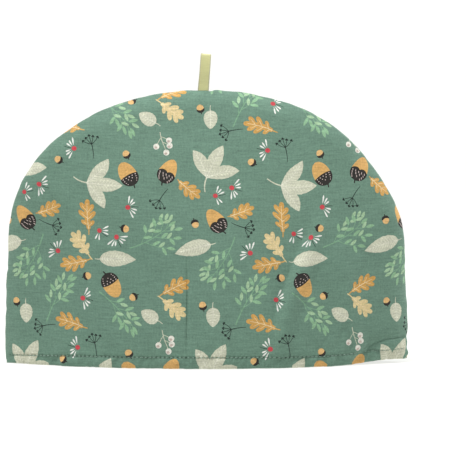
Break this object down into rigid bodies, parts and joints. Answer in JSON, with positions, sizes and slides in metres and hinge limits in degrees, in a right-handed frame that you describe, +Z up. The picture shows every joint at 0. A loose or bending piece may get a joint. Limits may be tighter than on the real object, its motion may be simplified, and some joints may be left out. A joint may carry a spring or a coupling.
{
  "type": "tea cosy",
  "caption": "Padded cotton tea cosy with a dome outline that stands open on its hem, keeps a teapot warm, and lifts off by a ribbon loop at the top.",
  "frame": {"origin": "on the surface that the cosy stands on, under the middle of its hem", "axes": "+Z up, X along the width from one side seam to the other, the front panel faces -Y and the back panel +Y"},
  "size_m": [0.3302, 0.1058, 0.2529],
  "materials": {
    "front_cotton": "matt plain-weave cotton over wadding, printed with leaves, acorns and small flowers on sage green",
    "back_cotton": "the same printed cotton over wadding",
    "loop_ribbon": "soft olive-yellow satin ribbon"
  },
  "bodies": {
    "root": {"front_panel": "front_cotton", "back_panel": "back_cotton", "hanging_loop": "loop_ribbon"}
  },
  "joints": []
}
